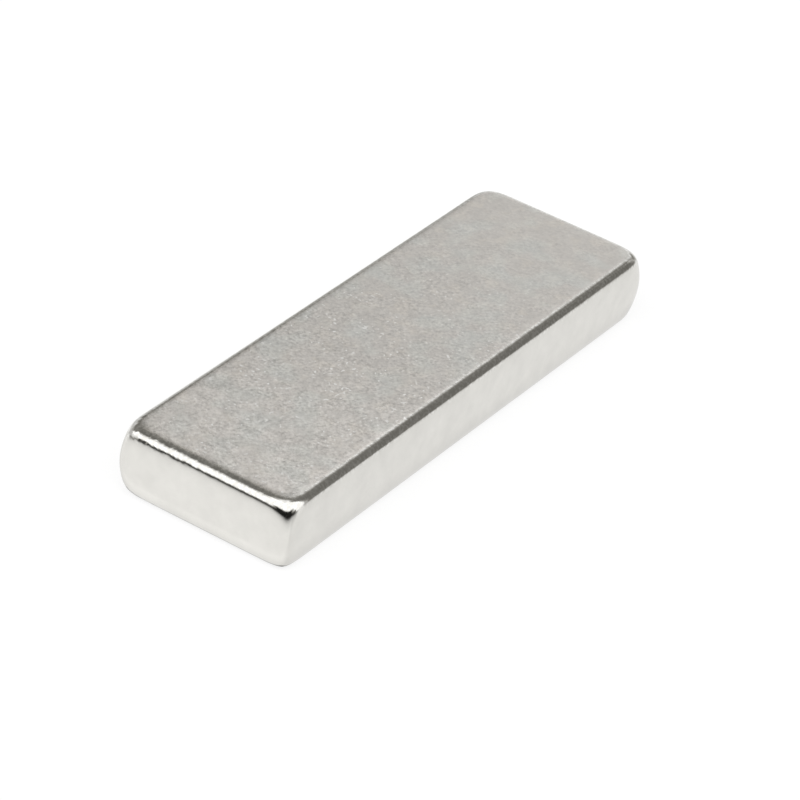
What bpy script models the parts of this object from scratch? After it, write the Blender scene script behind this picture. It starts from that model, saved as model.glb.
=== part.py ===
"""Block magnet: a flat sintered bar with tumbled rims and nickel plating.

One solid, in metres, +Z up. The bar's length runs along X and its width along Y.
It lies on one pole face at z = 0, and the origin is the centre of that face.

The form is a cage with a subdivision surface over it, which gives the soft, even rims
that tumbling leaves. The cage is the sharp bar, cut by planes that run along its rims.
The rims round off between the first planes and stay clear of the flats beyond them.
Tumbling wears a corner more than an edge, so the cage's eight corners are drawn in.
"""

import math

import bmesh
import bpy
from mathutils import Matrix, Vector

# Overall size of the bar.
LENGTH = 0.025
WIDTH = 0.008
THICKNESS = 0.003

# How far the rounded rims reach: in from the ends, in from the long sides, and up or
# down the walls from a pole face.
END_RIM_REACH = 0.0008
LONG_RIM_REACH = 0.00072
WALL_RIM_REACH = 0.0011

# Distance from the ends and the long sides at which the pole faces are held flat.
FLAT_HOLD = 0.0016

# How far each corner of the cage is drawn in, along each axis.
CORNER_WEAR = 0.00027

# Rounds of subdivision.
SUBDIVISIONS = 3

# Nickel plating: a slightly warm grey metal with a satin face.
NICKEL_COLOR = (0.73, 0.71, 0.67, 1.0)
NICKEL_ROUGHNESS = 0.3


def clear_scene():
    """Removes whatever the scene holds."""
    for old in list(bpy.data.objects):
        bpy.data.objects.remove(old)


def nickel_plating():
    """The plating's material."""
    material = bpy.data.materials.new("nickel_plating")
    material.use_nodes = True
    shader = material.node_tree.nodes["Principled BSDF"]
    shader.inputs["Base Color"].default_value = NICKEL_COLOR
    shader.inputs["Metallic"].default_value = 1.0
    shader.inputs["Roughness"].default_value = NICKEL_ROUGHNESS
    material.diffuse_color = NICKEL_COLOR
    return material


def sharp_bar(bm, size):
    """The bar with sharp edges, standing on z = 0."""
    place = Matrix.Translation((0.0, 0.0, size.z / 2)) @ Matrix.Diagonal((*size, 1.0))
    bmesh.ops.create_cube(bm, size=1.0, matrix=place)


def cut_across(bm, axis, place):
    """Cuts the cage's faces along the plane that crosses an axis at a place."""
    point = Vector((0.0, 0.0, 0.0))
    normal = Vector((0.0, 0.0, 0.0))
    point[axis] = place
    normal[axis] = 1.0
    everything = bm.verts[:] + bm.edges[:] + bm.faces[:]
    bmesh.ops.bisect_plane(bm, geom=everything, plane_co=point, plane_no=normal)


def cut_along_rims(bm, size):
    """Cuts the cage where the rims start and where the flats are held."""
    for side in (-1, 1):
        for reach in (END_RIM_REACH, FLAT_HOLD):
            cut_across(bm, 0, side * (size.x / 2 - reach))
        for reach in (LONG_RIM_REACH, FLAT_HOLD):
            cut_across(bm, 1, side * (size.y / 2 - reach))
        cut_across(bm, 2, size.z / 2 + side * (size.z / 2 - WALL_RIM_REACH))


def wear_corners(bm, size, corners):
    """Draws the bar's own corners in towards its middle."""
    middle = Vector((0.0, 0.0, size.z / 2))
    for corner in corners:
        outward = corner.co - middle
        corner.co -= Vector([math.copysign(CORNER_WEAR, part) for part in outward])


def round_over(magnet):
    """Rounds the cage into the tumbled bar. Its points are those of the refined cage, not
    of the limit surface, so that the flats keep the bar's full size."""
    rounding = magnet.modifiers.new("rounding", "SUBSURF")
    rounding.levels = SUBDIVISIONS
    rounding.render_levels = SUBDIVISIONS
    rounding.use_limit_surface = False


def build_magnet():
    """The magnet as one object: its cage, its rounding and its plating."""
    size = Vector((LENGTH, WIDTH, THICKNESS))
    bm = bmesh.new()
    sharp_bar(bm, size)
    corners = bm.verts[:]
    cut_along_rims(bm, size)
    wear_corners(bm, size, corners)
    mesh = bpy.data.meshes.new("block_magnet")
    bm.to_mesh(mesh)
    bm.free()
    mesh.shade_smooth()
    mesh.materials.append(nickel_plating())
    magnet = bpy.data.objects.new("block_magnet", mesh)
    bpy.context.scene.collection.objects.link(magnet)
    round_over(magnet)
    return magnet


clear_scene()
build_magnet()
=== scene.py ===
"""The looks of the block magnet: its tumbled form at full fineness, its nickel plating,
the floor and the studio that the nickel mirrors, and the camera.

All lengths are in metres. Angles are in degrees, apart from the turn of the noise. An
azimuth turns anticlockwise from the magnet's +X end, seen from above.
"""

import math
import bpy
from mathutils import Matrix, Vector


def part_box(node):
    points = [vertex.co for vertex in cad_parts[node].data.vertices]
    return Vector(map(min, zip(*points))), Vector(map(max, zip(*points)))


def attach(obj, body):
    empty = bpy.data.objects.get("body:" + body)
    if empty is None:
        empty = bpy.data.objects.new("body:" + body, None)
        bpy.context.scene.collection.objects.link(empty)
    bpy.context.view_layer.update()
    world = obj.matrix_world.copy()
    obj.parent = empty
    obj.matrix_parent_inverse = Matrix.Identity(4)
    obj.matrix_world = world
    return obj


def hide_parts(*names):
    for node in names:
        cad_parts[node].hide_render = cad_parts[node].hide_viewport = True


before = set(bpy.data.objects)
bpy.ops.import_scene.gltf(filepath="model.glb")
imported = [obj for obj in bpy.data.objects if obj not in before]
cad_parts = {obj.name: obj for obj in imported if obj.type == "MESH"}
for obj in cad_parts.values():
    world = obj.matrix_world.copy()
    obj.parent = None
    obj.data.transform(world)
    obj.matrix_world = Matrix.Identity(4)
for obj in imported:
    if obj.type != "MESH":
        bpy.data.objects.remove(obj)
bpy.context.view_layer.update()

from types import SimpleNamespace

import bmesh
import bpy
from mathutils import Matrix, Quaternion, Vector, noise

NODE = "block_magnet"
PIECE = "tumbled_bar"
SLOT = "nickel_plating"

# The range of a share, from none to all.
UNIT = (0.0, 1.0)

# The tumbled form: how far the rims reach in from the ends, in from the long sides and
# along the walls, where the pole faces are held flat, and how far corners are drawn in.
END_RIM_REACH = 0.0008
LONG_RIM_REACH = 0.00072
WALL_RIM_REACH = 0.0011
FLAT_HOLD = 0.0016
CORNER_WEAR = 0.00027

# The corner that tumbling has worn least, as the sides it lies on, and its wear.
LEAST_WORN_CORNER = (-1, -1, -1)
LEAST_CORNER_WEAR = 0.00012

# Even cuts between the held flats, along the length, and rounds of subdivision.
CUTS_ALONG = 16
SUBDIVISIONS = 4

# Unevenness of the plated surface: the width and the depth of each size of hollow, the
# share of that depth that the pole faces have, and the power of the normal's upright part
# with which the depth falls off towards them.
HOLLOWS = ((0.0025, 0.000004), (0.0006, 0.0000025), (0.0003, 0.000001))
FACE_SHARE = 0.35
FACE_POWER = 8

# The zones of the nickel, each between two values of the normal's upright part: where the
# satin and the sand of the pole faces come up, and where the walls turn into worn rims.
SATIN_FADE = (0.97, 0.998)
SAND_FADE = (0.93, 0.99)
RIM_FADE = (0.1, 0.4)

# Roughness of the satin pole faces and of the smoother rims and walls.
SATIN_ROUGHNESS = 0.3
WALL_ROUGHNESS = 0.1

# Nickel: its colour on the walls and rims, on the satin faces and at their near end,
# which a painted glint lightens, and that of its painted sparkles.
NICKEL = (0.735, 0.722, 0.685, 1.0)
SATIN = (0.678, 0.651, 0.614, 1.0)
SATIN_PAINTED_GLINT = (0.82, 0.787, 0.744, 1.0)
PAINTED_SPARKLE = (1.0, 0.99, 0.96, 1.0)

# Where a painted glint starts to lighten the satin towards the near end, and where it is
# brightest.
PAINTED_GLINT_ALONG = (-0.002, -0.0115)

# The noise in the nickel, each kind as the width of its features, its detail and its
# roughness. All of it varies round one middle and is turned, by angles in radians, so
# that its rows don't lie along the faces.
FINE_NOISE = (0.00014, 2.0, 0.6)
BROAD_NOISE = (0.0006, 1.0, 1.0)
SWELL_NOISE = (0.0008, 1.0, 0.5)
SPARKLE_NOISE = (0.00015, 0.0, 0.5)
CLUMP_NOISE = (0.0011, 1.0, 0.5)
WARM_NOISE = (0.0007, 2.0, 0.5)
COOL_NOISE = (0.0014, 2.0, 0.5)
WALL_NOISE = (0.0009, 4.0, 0.6)
RIPPLE_NOISE = (0.0003, 1.0, 0.5)
NOISE_MIDDLE = 0.5
NOISE_TURN = (0.6, 0.4, 0.9)

# The sandy grain, fine and broad: where along the magnet it is weakest and strongest, and
# how strongly it changes the tone there. Then its depth.
FINE_ALONG = (0.010, -0.003)
FINE_STRENGTH = (0.38, 0.92)
BROAD_ALONG = (0.0, -0.009)
BROAD_STRENGTH = (0.18, 0.48)
GRAIN_DEPTH = 0.000005

# The fine grain comes and goes: the range of noise over which it does, and the share of
# its strength at either end of that range.
SWELL_RANGE = (0.35, 0.65)
SWELL_SHARES = (0.7, 1.3)

# Painted sparkles, glints of light put into the colour: the range of noise that they
# fill, and that of their clumps. Along the magnet they come up where the fine grain does.
SPARKLE_RANGE = (0.70, 0.78)
CLUMP_RANGE = (0.35, 0.60)

# Along the right long rim they are more frequent: the range of noise that they fill
# there, and where across the magnet this starts and is complete.
RIM_SPARKLE_RANGE = (0.56, 0.68)
RIM_SPARKLE_ACROSS = (-0.0028, -0.0034)

# The faint tints of the satin, each with its noise, the range of noise that a tint fills,
# and how far it changes the colour there.
TINTS = (
    ((0.79, 0.735, 0.66, 1.0), WARM_NOISE),
    ((0.68, 0.722, 0.70, 1.0), COOL_NOISE),
)
TINT_RANGE = (0.45, 0.65)
TINT_STRENGTH = 0.35

# How strongly the faint mottling of the walls and rims changes their tone, and the range
# of the fine noise over which painted glints, as light specks, lighten the upper rims.
MOTTLE_STRENGTH = 0.19
GLINT_SPECK_RANGE = (0.43, 0.73)

# The ripple of the rims: its depth, where across and along the magnet it starts and is
# deepest, and the share of it that the other rims have.
RIPPLE_DEPTH = 0.000028
RIPPLE_ACROSS = (-0.002, 0.003)
RIPPLE_ALONG = (-0.0100, -0.0116)
RIPPLE_LEAST = 0.2

# The camera: where it looks, from which side and how far, its roll, its lens, and the
# nearest distance that it shows.
AIM = Vector((-0.0017373, -0.0016, 0.0015))
CAMERA_DISTANCE = 0.1512525
CAMERA_AZIMUTH = 210.25
CAMERA_ELEVATION = 33.25
CAMERA_ROLL = 7.723
CAMERA_LENS = 176.03
CAMERA_SENSOR = 36.0
CAMERA_NEAREST = 0.01

# The floor: its reach, its colour, and how it shows to the camera, as a darker colour
# with a lift to white that leaves a faint shadow.
FLOOR_REACH = 2.0
FLOOR_COLOR = (0.86, 0.86, 0.86, 1.0)
FLOOR_SEEN_COLOR = (0.27, 0.27, 0.27, 1.0)
FLOOR_LIFT = 0.81

# The floor as the nickel mirrors it: its brightness beyond the near end and along the
# sides, each right beside the magnet and further off, how far off that is, and where the
# near end gives way to the sides. Then how far off the floor has faded to half, and the
# shade under the rims, as an inset of the footprint and two distances from there.
FLOOR_NEAR_LEVELS = (1.22, 1.07)
FLOOR_SIDE_LEVELS = (0.86, 0.95)
FLOOR_BESIDE = (0.0001, 0.0008)
FLOOR_NEAR = (-0.0131, -0.0121)
FLOOR_FADE = 0.020
CONTACT_INSET = 0.00041
CONTACT_SHADE = (0.0, 0.0003)

# What the nickel mirrors: soft light from all round, and over it one patch after another,
# each with its brightness, its azimuths, its elevations, and the widths of its soft edges
# to the sides and up and down.
STUDIO_LEVEL = 1.34
STUDIO = (
    ("ceiling between the lamps", 0.85, (-200, 200), (85, 95), (5, 6)),
    ("dark arch", 0.22, (-52, 103), (-140, 76), (8, 11)),
    ("darker left part of the arch", 0.17, (57, 118), (43, 64), (25, 3)),
    ("lit part of the back wall", 0.9, (-44, -7), (-140, 35), (7, 2)),
    ("middle of the back wall", 0.79, (2, 40), (-140, 49), (12, 12)),
    ("bright edge of the back wall", 1.1, (14, 27), (37, 47), (8, 4)),
    ("left of the back wall", 0.62, (45, 113), (-140, 22), (2, 8)),
    ("dark panel on the left", 0.2, (40, 54), (14, 36), (4, 5)),
    ("right of the back wall", 0.18, (-57, -12), (-12, 53), (16, 14)),
    ("dark upright beside it", 0.25, (-12, 13), (7, 19), (4, 4)),
    ("right lamp", 1.34, (-124, -57), (4, 70), (5, 8)),
    ("gap under the lamps", 0.08, (145, 281), (-140, 10), (4, 6)),
    ("dark round the camera", 0.015, (167, 268), (-140, 24), (10, 6)),
    ("foot of the left lamp", 0.0, (113, 152), (-54, 7), (3, 18)),
    ("foot of the right lamp", 0.0, (-99, -70), (-18, -1), (6, 4)),
)

# The studio's light is white, apart from the warm tint of its dark parts, which is gone
# between two brightnesses. To the camera the studio is white at a brightness of its own.
WHITE = (1.0, 1.0, 1.0, 1.0)
DARK_TINT = (1.01, 0.985, 0.925, 1.0)
TINTED_LEVELS = (0.3, 0.6)
BACKDROP_LEVEL = 1.0


def add_node(tree, kind, inputs=(), **settings):
    """A shader node with its settings. Each input is a socket to link or a value."""
    node = tree.nodes.new(kind)
    for name, value in settings.items():
        setattr(node, name, value)
    for socket, value in dict(inputs).items():
        if isinstance(value, bpy.types.NodeSocket):
            tree.links.new(value, node.inputs[socket])
        else:
            node.inputs[socket].default_value = value
    return node


def math_node(tree, operation, *values):
    """The result of a Math node."""
    inputs = dict(enumerate(values))
    return add_node(tree, "ShaderNodeMath", inputs, operation=operation).outputs[0]


def product(tree, first, *others):
    """The product of several values."""
    result = first
    for other in others:
        result = math_node(tree, "MULTIPLY", result, other)
    return result


def smooth_step(tree, value, start, end):
    """0 before start and 1 after end, with a smooth rise between them."""
    inputs = {"Value": value, "From Min": start, "From Max": end}
    node = add_node(tree, "ShaderNodeMapRange", inputs, interpolation_type="SMOOTHSTEP")
    return node.outputs["Result"]


def ramp(tree, value, places=UNIT, levels=UNIT):
    """A level that changes evenly from one place to another and stays the same beyond."""
    inputs = {
        "Value": value,
        "From Min": places[0],
        "From Max": places[1],
        "To Min": levels[0],
        "To Max": levels[1],
    }
    return add_node(tree, "ShaderNodeMapRange", inputs).outputs["Result"]


def scale_color(tree, color, share):
    """A colour made lighter or darker."""
    inputs = {0: color, "Scale": share}
    return add_node(tree, "ShaderNodeVectorMath", inputs, operation="SCALE").outputs["Vector"]


def mix_color(tree, share, first, second):
    """A blend of two colours, which a Mix node takes at 6 and 7 and gives at 2."""
    inputs = {0: share, 6: first, 7: second}
    return add_node(tree, "ShaderNodeMix", inputs, data_type="RGBA").outputs[2]


def mix_surface(tree, share, first, second):
    """A blend of two surfaces."""
    return add_node(tree, "ShaderNodeMixShader", {0: share, 1: first, 2: second}).outputs[0]


def read_surface(tree):
    """What the nickel varies with, each as a socket: the spot's place along and across
    the magnet, its turned place for noise, and how far the spot is satin, sandy, on a rim
    and on the upper side."""
    place = add_node(tree, "ShaderNodeTexCoord").outputs["Object"]
    along, across, _ = add_node(tree, "ShaderNodeSeparateXYZ", {0: place}).outputs
    inputs = {"Vector": place, "Rotation": NOISE_TURN}
    turned = add_node(tree, "ShaderNodeMapping", inputs).outputs["Vector"]
    normal = add_node(tree, "ShaderNodeNewGeometry").outputs["Normal"]
    upward = add_node(tree, "ShaderNodeSeparateXYZ", {0: normal}).outputs["Z"]
    upright = math_node(tree, "ABSOLUTE", upward)
    satin = smooth_step(tree, upright, *SATIN_FADE)
    rim = math_node(tree, "SUBTRACT", smooth_step(tree, upright, *RIM_FADE), satin)
    return SimpleNamespace(
        along=along,
        across=across,
        turned=turned,
        satin=satin,
        sandy=smooth_step(tree, upright, *SAND_FADE),
        rim=rim,
        upper=smooth_step(tree, upward, *RIM_FADE),
    )


def noise_node(tree, spot, kind):
    """Procedural noise of one kind."""
    width, detail, roughness = kind
    inputs = {"Vector": spot.turned, "Scale": 1 / width, "Detail": detail, "Roughness": roughness}
    return add_node(tree, "ShaderNodeTexNoise", inputs).outputs["Fac"]


def about_zero(tree, level):
    """A level of noise, measured from the noise's middle."""
    return math_node(tree, "SUBTRACT", level, NOISE_MIDDLE)


def sandy_grain(tree, spot, grains):
    """How far the sand lightens or darkens the satin, from the fine noise and a broad one."""
    fine = about_zero(tree, grains)
    fine = product(tree, fine, ramp(tree, spot.along, FINE_ALONG, FINE_STRENGTH))
    swell = ramp(tree, noise_node(tree, spot, SWELL_NOISE), SWELL_RANGE, SWELL_SHARES)
    fine = product(tree, fine, swell)
    broad = about_zero(tree, noise_node(tree, spot, BROAD_NOISE))
    broad = product(tree, broad, ramp(tree, spot.along, BROAD_ALONG, BROAD_STRENGTH))
    return product(tree, math_node(tree, "ADD", fine, broad), spot.sandy)


def wall_color(tree, spot, grains):
    """The nickel of the walls and rims: faintly mottled, with painted glints as light
    specks on the upper rims.
    """
    mottle = about_zero(tree, noise_node(tree, spot, WALL_NOISE))
    mottle = math_node(tree, "MULTIPLY_ADD", mottle, MOTTLE_STRENGTH, 1.0)
    # Painted glints: light specks on the upper rims, in the sparkle colour.
    glint_specks = product(tree, ramp(tree, grains, GLINT_SPECK_RANGE), spot.rim, spot.upper)
    return mix_color(tree, glint_specks, scale_color(tree, NICKEL[:3], mottle), PAINTED_SPARKLE)


def painted_sparkles(tree, spot):
    """Where painted sparkles, glints of light in the colour, lie: in clumps on the pole
    faces, more towards the near end, and more often along the right long rim."""
    points = noise_node(tree, spot, SPARKLE_NOISE)
    clumps = smooth_step(tree, noise_node(tree, spot, CLUMP_NOISE), *CLUMP_RANGE)
    face = product(tree, smooth_step(tree, points, *SPARKLE_RANGE), clumps)
    face = product(tree, face, ramp(tree, spot.along, FINE_ALONG))
    rim = math_node(tree, "SUBTRACT", 1.0, spot.satin)
    rim = product(tree, rim, ramp(tree, spot.across, RIM_SPARKLE_ACROSS))
    rim = product(tree, smooth_step(tree, points, *RIM_SPARKLE_RANGE), rim)
    return product(tree, math_node(tree, "MAXIMUM", face, rim), spot.sandy)


def nickel_color(tree, spot, grains, grain):
    """The nickel's colour: satin or smoother, faintly tinted, with grain, a painted glint
    that lightens the satin towards the near end, and painted sparkles.
    """
    # The satin's lightening towards the near end is a painted glint.
    satin = mix_color(tree, ramp(tree, spot.along, PAINTED_GLINT_ALONG), SATIN, SATIN_PAINTED_GLINT)
    color = mix_color(tree, spot.satin, wall_color(tree, spot, grains), satin)
    for tint, kind in TINTS:
        share = smooth_step(tree, noise_node(tree, spot, kind), *TINT_RANGE)
        share = product(tree, share, spot.satin)
        color = mix_color(tree, share, color, mix_color(tree, TINT_STRENGTH, color, tint))
    color = scale_color(tree, color, math_node(tree, "ADD", grain, 1.0))
    # Painted sparkles: glints of light mixed into the colour.
    return mix_color(tree, painted_sparkles(tree, spot), color, PAINTED_SPARKLE)


def relief(tree, spot, grain):
    """The surface's normal, disturbed by the ripple of the rims and by the grain."""
    share = ramp(tree, spot.across, RIPPLE_ACROSS)
    share = product(tree, share, ramp(tree, spot.along, RIPPLE_ALONG))
    share = math_node(tree, "MAXIMUM", share, RIPPLE_LEAST)
    ripple = product(tree, spot.rim, noise_node(tree, spot, RIPPLE_NOISE), share, RIPPLE_DEPTH)
    height = math_node(tree, "MULTIPLY_ADD", grain, GRAIN_DEPTH, ripple)
    inputs = {"Height": height, "Strength": 1.0, "Distance": 1.0}
    return add_node(tree, "ShaderNodeBump", inputs).outputs["Normal"]


def nickel_plating():
    """Satin nickel with a sandy grain on the pole faces, smoother on rims and walls."""
    material = bpy.data.materials.new(SLOT)
    material.use_nodes = True
    tree = material.node_tree
    spot = read_surface(tree)
    grains = noise_node(tree, spot, FINE_NOISE)
    grain = sandy_grain(tree, spot, grains)
    looks = {
        "Base Color": nickel_color(tree, spot, grains, grain),
        "Roughness": ramp(tree, spot.satin, levels=(WALL_ROUGHNESS, SATIN_ROUGHNESS)),
        "Normal": relief(tree, spot, grain),
    }
    shader = tree.nodes["Principled BSDF"]
    shader.inputs["Metallic"].default_value = 1.0
    for name, look in looks.items():
        tree.links.new(look, shader.inputs[name])
    return material


def cut_across(bm, axis, place):
    """Cuts the cage's faces along the plane that crosses an axis at a place."""
    point = Vector((0.0, 0.0, 0.0))
    normal = Vector((0.0, 0.0, 0.0))
    point[axis] = place
    normal[axis] = 1.0
    everything = bm.verts[:] + bm.edges[:] + bm.faces[:]
    bmesh.ops.bisect_plane(bm, geom=everything, plane_co=point, plane_no=normal)


def cage_cuts(low, high):
    """Where the cage is cut: each cut's axis and its place on it."""
    for axis, reach, count in ((0, END_RIM_REACH, CUTS_ALONG), (1, LONG_RIM_REACH, 0)):
        start = low[axis] + FLAT_HOLD
        end = high[axis] - FLAT_HOLD
        yield axis, low[axis] + reach
        for step in range(count + 2):
            yield axis, start + (end - start) * step / (count + 1)
        yield axis, high[axis] - reach
    yield 2, low.z + WALL_RIM_REACH
    yield 2, high.z - WALL_RIM_REACH


def wear_corners(corners, middle):
    """Draws the bar's corners in towards its middle."""
    for corner in corners:
        outward = corner.co - middle
        sides = tuple(int(math.copysign(1, part)) for part in outward)
        wear = LEAST_CORNER_WEAR if sides == LEAST_WORN_CORNER else CORNER_WEAR
        corner.co -= wear * Vector(sides)


def worn_cage(low, high):
    """The sharp bar between two corners, cut along its rims and across its flats, with
    its corners worn."""
    bm = bmesh.new()
    middle = (low + high) / 2
    place = Matrix.Translation(middle) @ Matrix.Diagonal((*(high - low), 1.0))
    bmesh.ops.create_cube(bm, size=1.0, matrix=place)
    corners = bm.verts[:]
    for axis, cut in cage_cuts(low, high):
        cut_across(bm, axis, cut)
    wear_corners(corners, middle)
    mesh = bpy.data.meshes.new("cage")
    bm.to_mesh(mesh)
    bm.free()
    return mesh


def rounded(mesh):
    """The mesh with its subdivision surface applied."""
    cage = bpy.data.objects.new("cage", mesh)
    bpy.context.scene.collection.objects.link(cage)
    rounding = cage.modifiers.new("rounding", "SUBSURF")
    rounding.levels = SUBDIVISIONS
    rounding.render_levels = SUBDIVISIONS
    rounding.use_limit_surface = False
    graph = bpy.context.evaluated_depsgraph_get()
    fine = bpy.data.meshes.new_from_object(cage.evaluated_get(graph))
    bpy.data.objects.remove(cage)
    bpy.data.meshes.remove(mesh)
    return fine


def hollow_depth(place):
    """How deep the hollows are at a place, all sizes together."""
    return sum(depth * (1.0 + noise.noise(place / width)) / 2 for width, depth in HOLLOWS)


def sink_hollows(mesh):
    """Lowers the surface a little, unevenly, so that straight reflections waver."""
    outward = [normal.vector.copy() for normal in mesh.vertex_normals]
    for vertex, direction in zip(mesh.vertices, outward):
        share = 1.0 - (1.0 - FACE_SHARE) * abs(direction.z) ** FACE_POWER
        vertex.co -= share * hollow_depth(vertex.co) * direction


def build_magnet():
    """The magnet's fine surface, in place of its CAD node."""
    low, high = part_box(NODE)
    mesh = rounded(worn_cage(low, high))
    mesh.name = PIECE
    sink_hollows(mesh)
    mesh.shade_smooth()
    mesh.materials.append(nickel_plating())
    magnet = bpy.data.objects.new(PIECE, mesh)
    bpy.context.scene.collection.objects.link(magnet)
    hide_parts(NODE)
    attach(magnet, "root")


def beside_magnet(tree, place, inset):
    """The distance across the floor from the magnet's footprint, less an inset."""
    low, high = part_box(NODE)
    parts = add_node(tree, "ShaderNodeSeparateXYZ", {0: place}).outputs
    squares = []
    for axis in (0, 1):
        reach = (high[axis] - low[axis]) / 2 - inset
        beyond = math_node(tree, "SUBTRACT", math_node(tree, "ABSOLUTE", parts[axis]), reach)
        beyond = math_node(tree, "MAXIMUM", beyond, 0.0)
        squares.append(math_node(tree, "POWER", beyond, 2.0))
    return math_node(tree, "SQRT", math_node(tree, "ADD", *squares))


def mirrored_floor(tree, place):
    """The floor as the nickel mirrors it: white round the magnet, brighter beyond the near
    end, with painted shade right under the rims, and fading out further off."""
    along = add_node(tree, "ShaderNodeSeparateXYZ", {0: place}).outputs["X"]
    beside = beside_magnet(tree, place, 0.0)
    near = ramp(tree, beside, FLOOR_BESIDE, FLOOR_NEAR_LEVELS)
    side = ramp(tree, beside, FLOOR_BESIDE, FLOOR_SIDE_LEVELS)
    level = ramp(tree, along, FLOOR_NEAR, (near, side))
    contact = smooth_step(tree, beside_magnet(tree, place, CONTACT_INSET), *CONTACT_SHADE)
    inputs = {"Strength": product(tree, level, contact)}
    white = add_node(tree, "ShaderNodeEmission", inputs).outputs[0]
    distance = math_node(tree, "DIVIDE", beside, FLOOR_FADE)
    faded = math_node(tree, "ADD", math_node(tree, "POWER", distance, 2.0), 1.0)
    shown = math_node(tree, "DIVIDE", 1.0, faded)
    beyond = add_node(tree, "ShaderNodeBsdfTransparent").outputs[0]
    return mix_surface(tree, shown, beyond, white)


def floor_material():
    """A pale floor, which shows white but keeps the magnet's shadow."""
    material = bpy.data.materials.new("floor")
    material.use_nodes = True
    tree = material.node_tree
    tree.nodes.remove(tree.nodes["Principled BSDF"])
    place = add_node(tree, "ShaderNodeTexCoord").outputs["Object"]
    ray = add_node(tree, "ShaderNodeLightPath").outputs
    lit = add_node(tree, "ShaderNodeBsdfDiffuse", {"Color": FLOOR_COLOR}).outputs[0]
    seen = add_node(tree, "ShaderNodeBsdfDiffuse", {"Color": FLOOR_SEEN_COLOR}).outputs[0]
    lift = add_node(tree, "ShaderNodeEmission", {"Strength": FLOOR_LIFT}).outputs[0]
    seen = add_node(tree, "ShaderNodeAddShader", {0: seen, 1: lift}).outputs[0]
    surface = mix_surface(tree, ray["Is Camera Ray"], lit, seen)
    surface = mix_surface(tree, ray["Is Glossy Ray"], surface, mirrored_floor(tree, place))
    tree.links.new(surface, tree.nodes["Material Output"].inputs["Surface"])
    return material


def build_floor():
    """The floor that the magnet lies on."""
    mesh = bpy.data.meshes.new("floor")
    corners = ((-1, -1), (1, -1), (1, 1), (-1, 1))
    places = [(x * FLOOR_REACH, y * FLOOR_REACH, 0.0) for x, y in corners]
    mesh.from_pydata(places, [], [(0, 1, 2, 3)])
    mesh.materials.append(floor_material())
    floor = bpy.data.objects.new("floor", mesh)
    bpy.context.scene.collection.objects.link(floor)


def soft_span(tree, angle, span, soft):
    """1 where an angle lies in a span and 0 elsewhere, with a soft edge at either end."""
    middle = math.radians(sum(span) / 2)
    half = math.radians((span[1] - span[0]) / 2)
    edge = math.radians(soft)
    turn = math_node(tree, "SUBTRACT", angle, middle)
    turn = math_node(tree, "WRAP", turn, math.pi, -math.pi)
    return smooth_step(tree, math_node(tree, "ABSOLUTE", turn), half + edge, half - edge)


def studio_level(tree):
    """The studio's brightness in each direction: its even light, with one patch after
    another blended over it."""
    direction = add_node(tree, "ShaderNodeTexCoord").outputs["Generated"]
    parts = add_node(tree, "ShaderNodeSeparateXYZ", {0: direction}).outputs
    azimuth = math_node(tree, "ARCTAN2", parts["Y"], parts["X"])
    elevation = math_node(tree, "ARCSINE", parts["Z"])
    level = STUDIO_LEVEL
    for name, value, azimuths, elevations, soft in STUDIO:
        mask = soft_span(tree, azimuth, azimuths, soft[0])
        mask = product(tree, mask, soft_span(tree, elevation, elevations, soft[1]))
        inputs = {"Value": mask, "To Min": level, "To Max": value}
        level = add_node(tree, "ShaderNodeMapRange", inputs, label=name).outputs["Result"]
    return level


def build_studio():
    """Soft light from all round, with the dark and bright patches of a small studio."""
    world = bpy.data.worlds.new("studio")
    bpy.context.scene.world = world
    world.use_nodes = True
    tree = world.node_tree
    background = tree.nodes["Background"].inputs
    level = studio_level(tree)
    tint = mix_color(tree, ramp(tree, level, TINTED_LEVELS), DARK_TINT, WHITE)
    seen = add_node(tree, "ShaderNodeLightPath").outputs["Is Camera Ray"]
    tree.links.new(mix_color(tree, seen, tint, WHITE), background["Color"])
    tree.links.new(ramp(tree, seen, levels=(level, BACKDROP_LEVEL)), background["Strength"])


def build_camera():
    """The camera, above and beyond the near end, rolled a little."""
    azimuth = math.radians(CAMERA_AZIMUTH)
    elevation = math.radians(CAMERA_ELEVATION)
    across = math.cos(elevation)
    towards = Vector((math.cos(azimuth) * across, math.sin(azimuth) * across, math.sin(elevation)))
    data = bpy.data.cameras.new("camera")
    data.lens = CAMERA_LENS
    data.sensor_width = CAMERA_SENSOR
    data.clip_start = CAMERA_NEAREST
    camera = bpy.data.objects.new("camera", data)
    bpy.context.scene.collection.objects.link(camera)
    level = towards.to_track_quat("Z", "Y")
    roll = Quaternion((0.0, 0.0, 1.0), math.radians(CAMERA_ROLL))
    camera.matrix_world = Matrix.LocRotScale(AIM + towards * CAMERA_DISTANCE, level @ roll, None)
    bpy.context.scene.camera = camera


bpy.context.scene.view_settings.view_transform = "Standard"
build_magnet()
build_floor()
build_studio()
build_camera()
